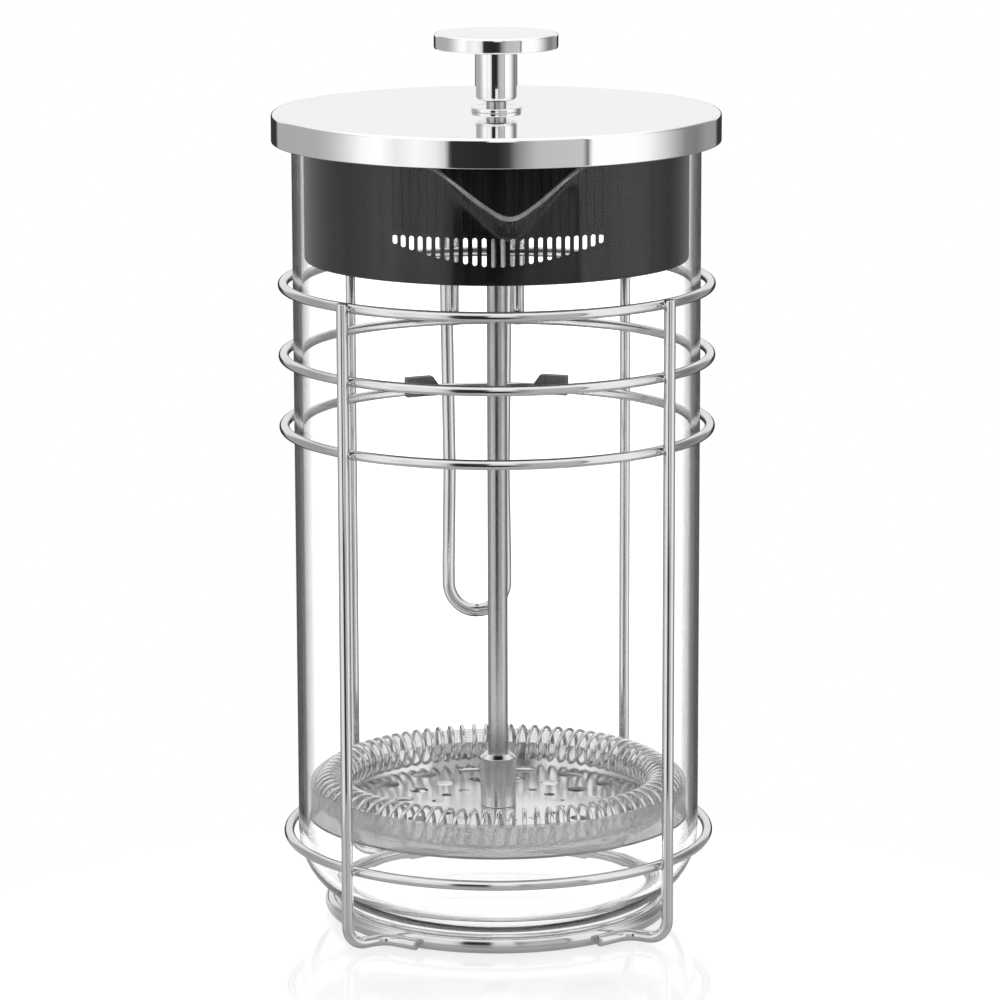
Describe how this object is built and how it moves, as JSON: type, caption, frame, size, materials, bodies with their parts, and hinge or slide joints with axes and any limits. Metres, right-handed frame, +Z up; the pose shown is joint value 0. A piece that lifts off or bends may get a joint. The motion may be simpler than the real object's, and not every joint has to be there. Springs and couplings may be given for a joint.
{
  "type": "french press",
  "caption": "Coffee press: glass beaker with a spout in a chrome wire frame with a wire handle, a flat metal lid with a strainer collar, and a plunger with a spring-edged filter.",
  "frame": {"origin": "on the beaker's axis, in the plane that the base ring stands on", "axes": "+Z up along the plunger, -Y towards the spout, +Y towards the handle, +X to the right for someone facing the spout"},
  "size_m": [0.1054, 0.1521, 0.2111],
  "materials": {
    "chrome_wire": "bright chrome-plated steel wire",
    "polished_steel": "mirror-polished stainless steel",
    "satin_steel": "drawn and turned stainless steel",
    "plate_steel": "bright pressed stainless sheet",
    "spring_steel": "bright spring wire",
    "woven_steel": "fine woven stainless mesh",
    "black_plastic": "moulded black polypropylene, satin",
    "grey_rubber": "dark grey silicone",
    "clear_glass": "clear borosilicate glass"
  },
  "bodies": {
    "frame": {"base_ring": "chrome_wire", "lower_ring": "chrome_wire", "upper_ring_1": "chrome_wire", "upper_ring_2": "chrome_wire", "upper_ring_3": "chrome_wire", "upright_front_left": "chrome_wire", "upright_front_right": "chrome_wire", "upright_rear_left": "chrome_wire", "upright_rear_right": "chrome_wire", "handle_wire": "chrome_wire", "bumper_left": "grey_rubber", "bumper_right": "grey_rubber"},
    "beaker": {"glass_beaker": "clear_glass"},
    "lid": {"lid_cover": "polished_steel", "lid_bushing": "polished_steel", "bushing_nut": "satin_steel"},
    "collar": {"strainer_collar": "black_plastic"},
    "plunger": {"knob": "polished_steel", "plunger_rod": "satin_steel", "rod_hub": "satin_steel", "spiral_plate": "plate_steel", "coil_spring": "spring_steel", "filter_mesh": "woven_steel", "cross_plate": "plate_steel", "hub_nut": "satin_steel"}
  },
  "joints": [
    {"name": "beaker_lift", "type": "slide", "parent": "frame", "child": "beaker", "axis": [0, 0, 1], "range_m": [0, 0.18]},
    {"name": "lid_lift", "type": "slide", "parent": "beaker", "child": "lid", "axis": [0, 0, 1], "range_m": [0, 0.18]},
    {"name": "lid_turn", "type": "hinge", "parent": "lid", "child": "collar", "pos_m": [0, 0, 0.175], "axis": [0, 0, 1], "continuous": true},
    {"name": "plunger_slide", "type": "slide", "parent": "lid", "child": "plunger", "axis": [0, 0, 1], "range_m": [-0.001, 0.121]}
  ]
}
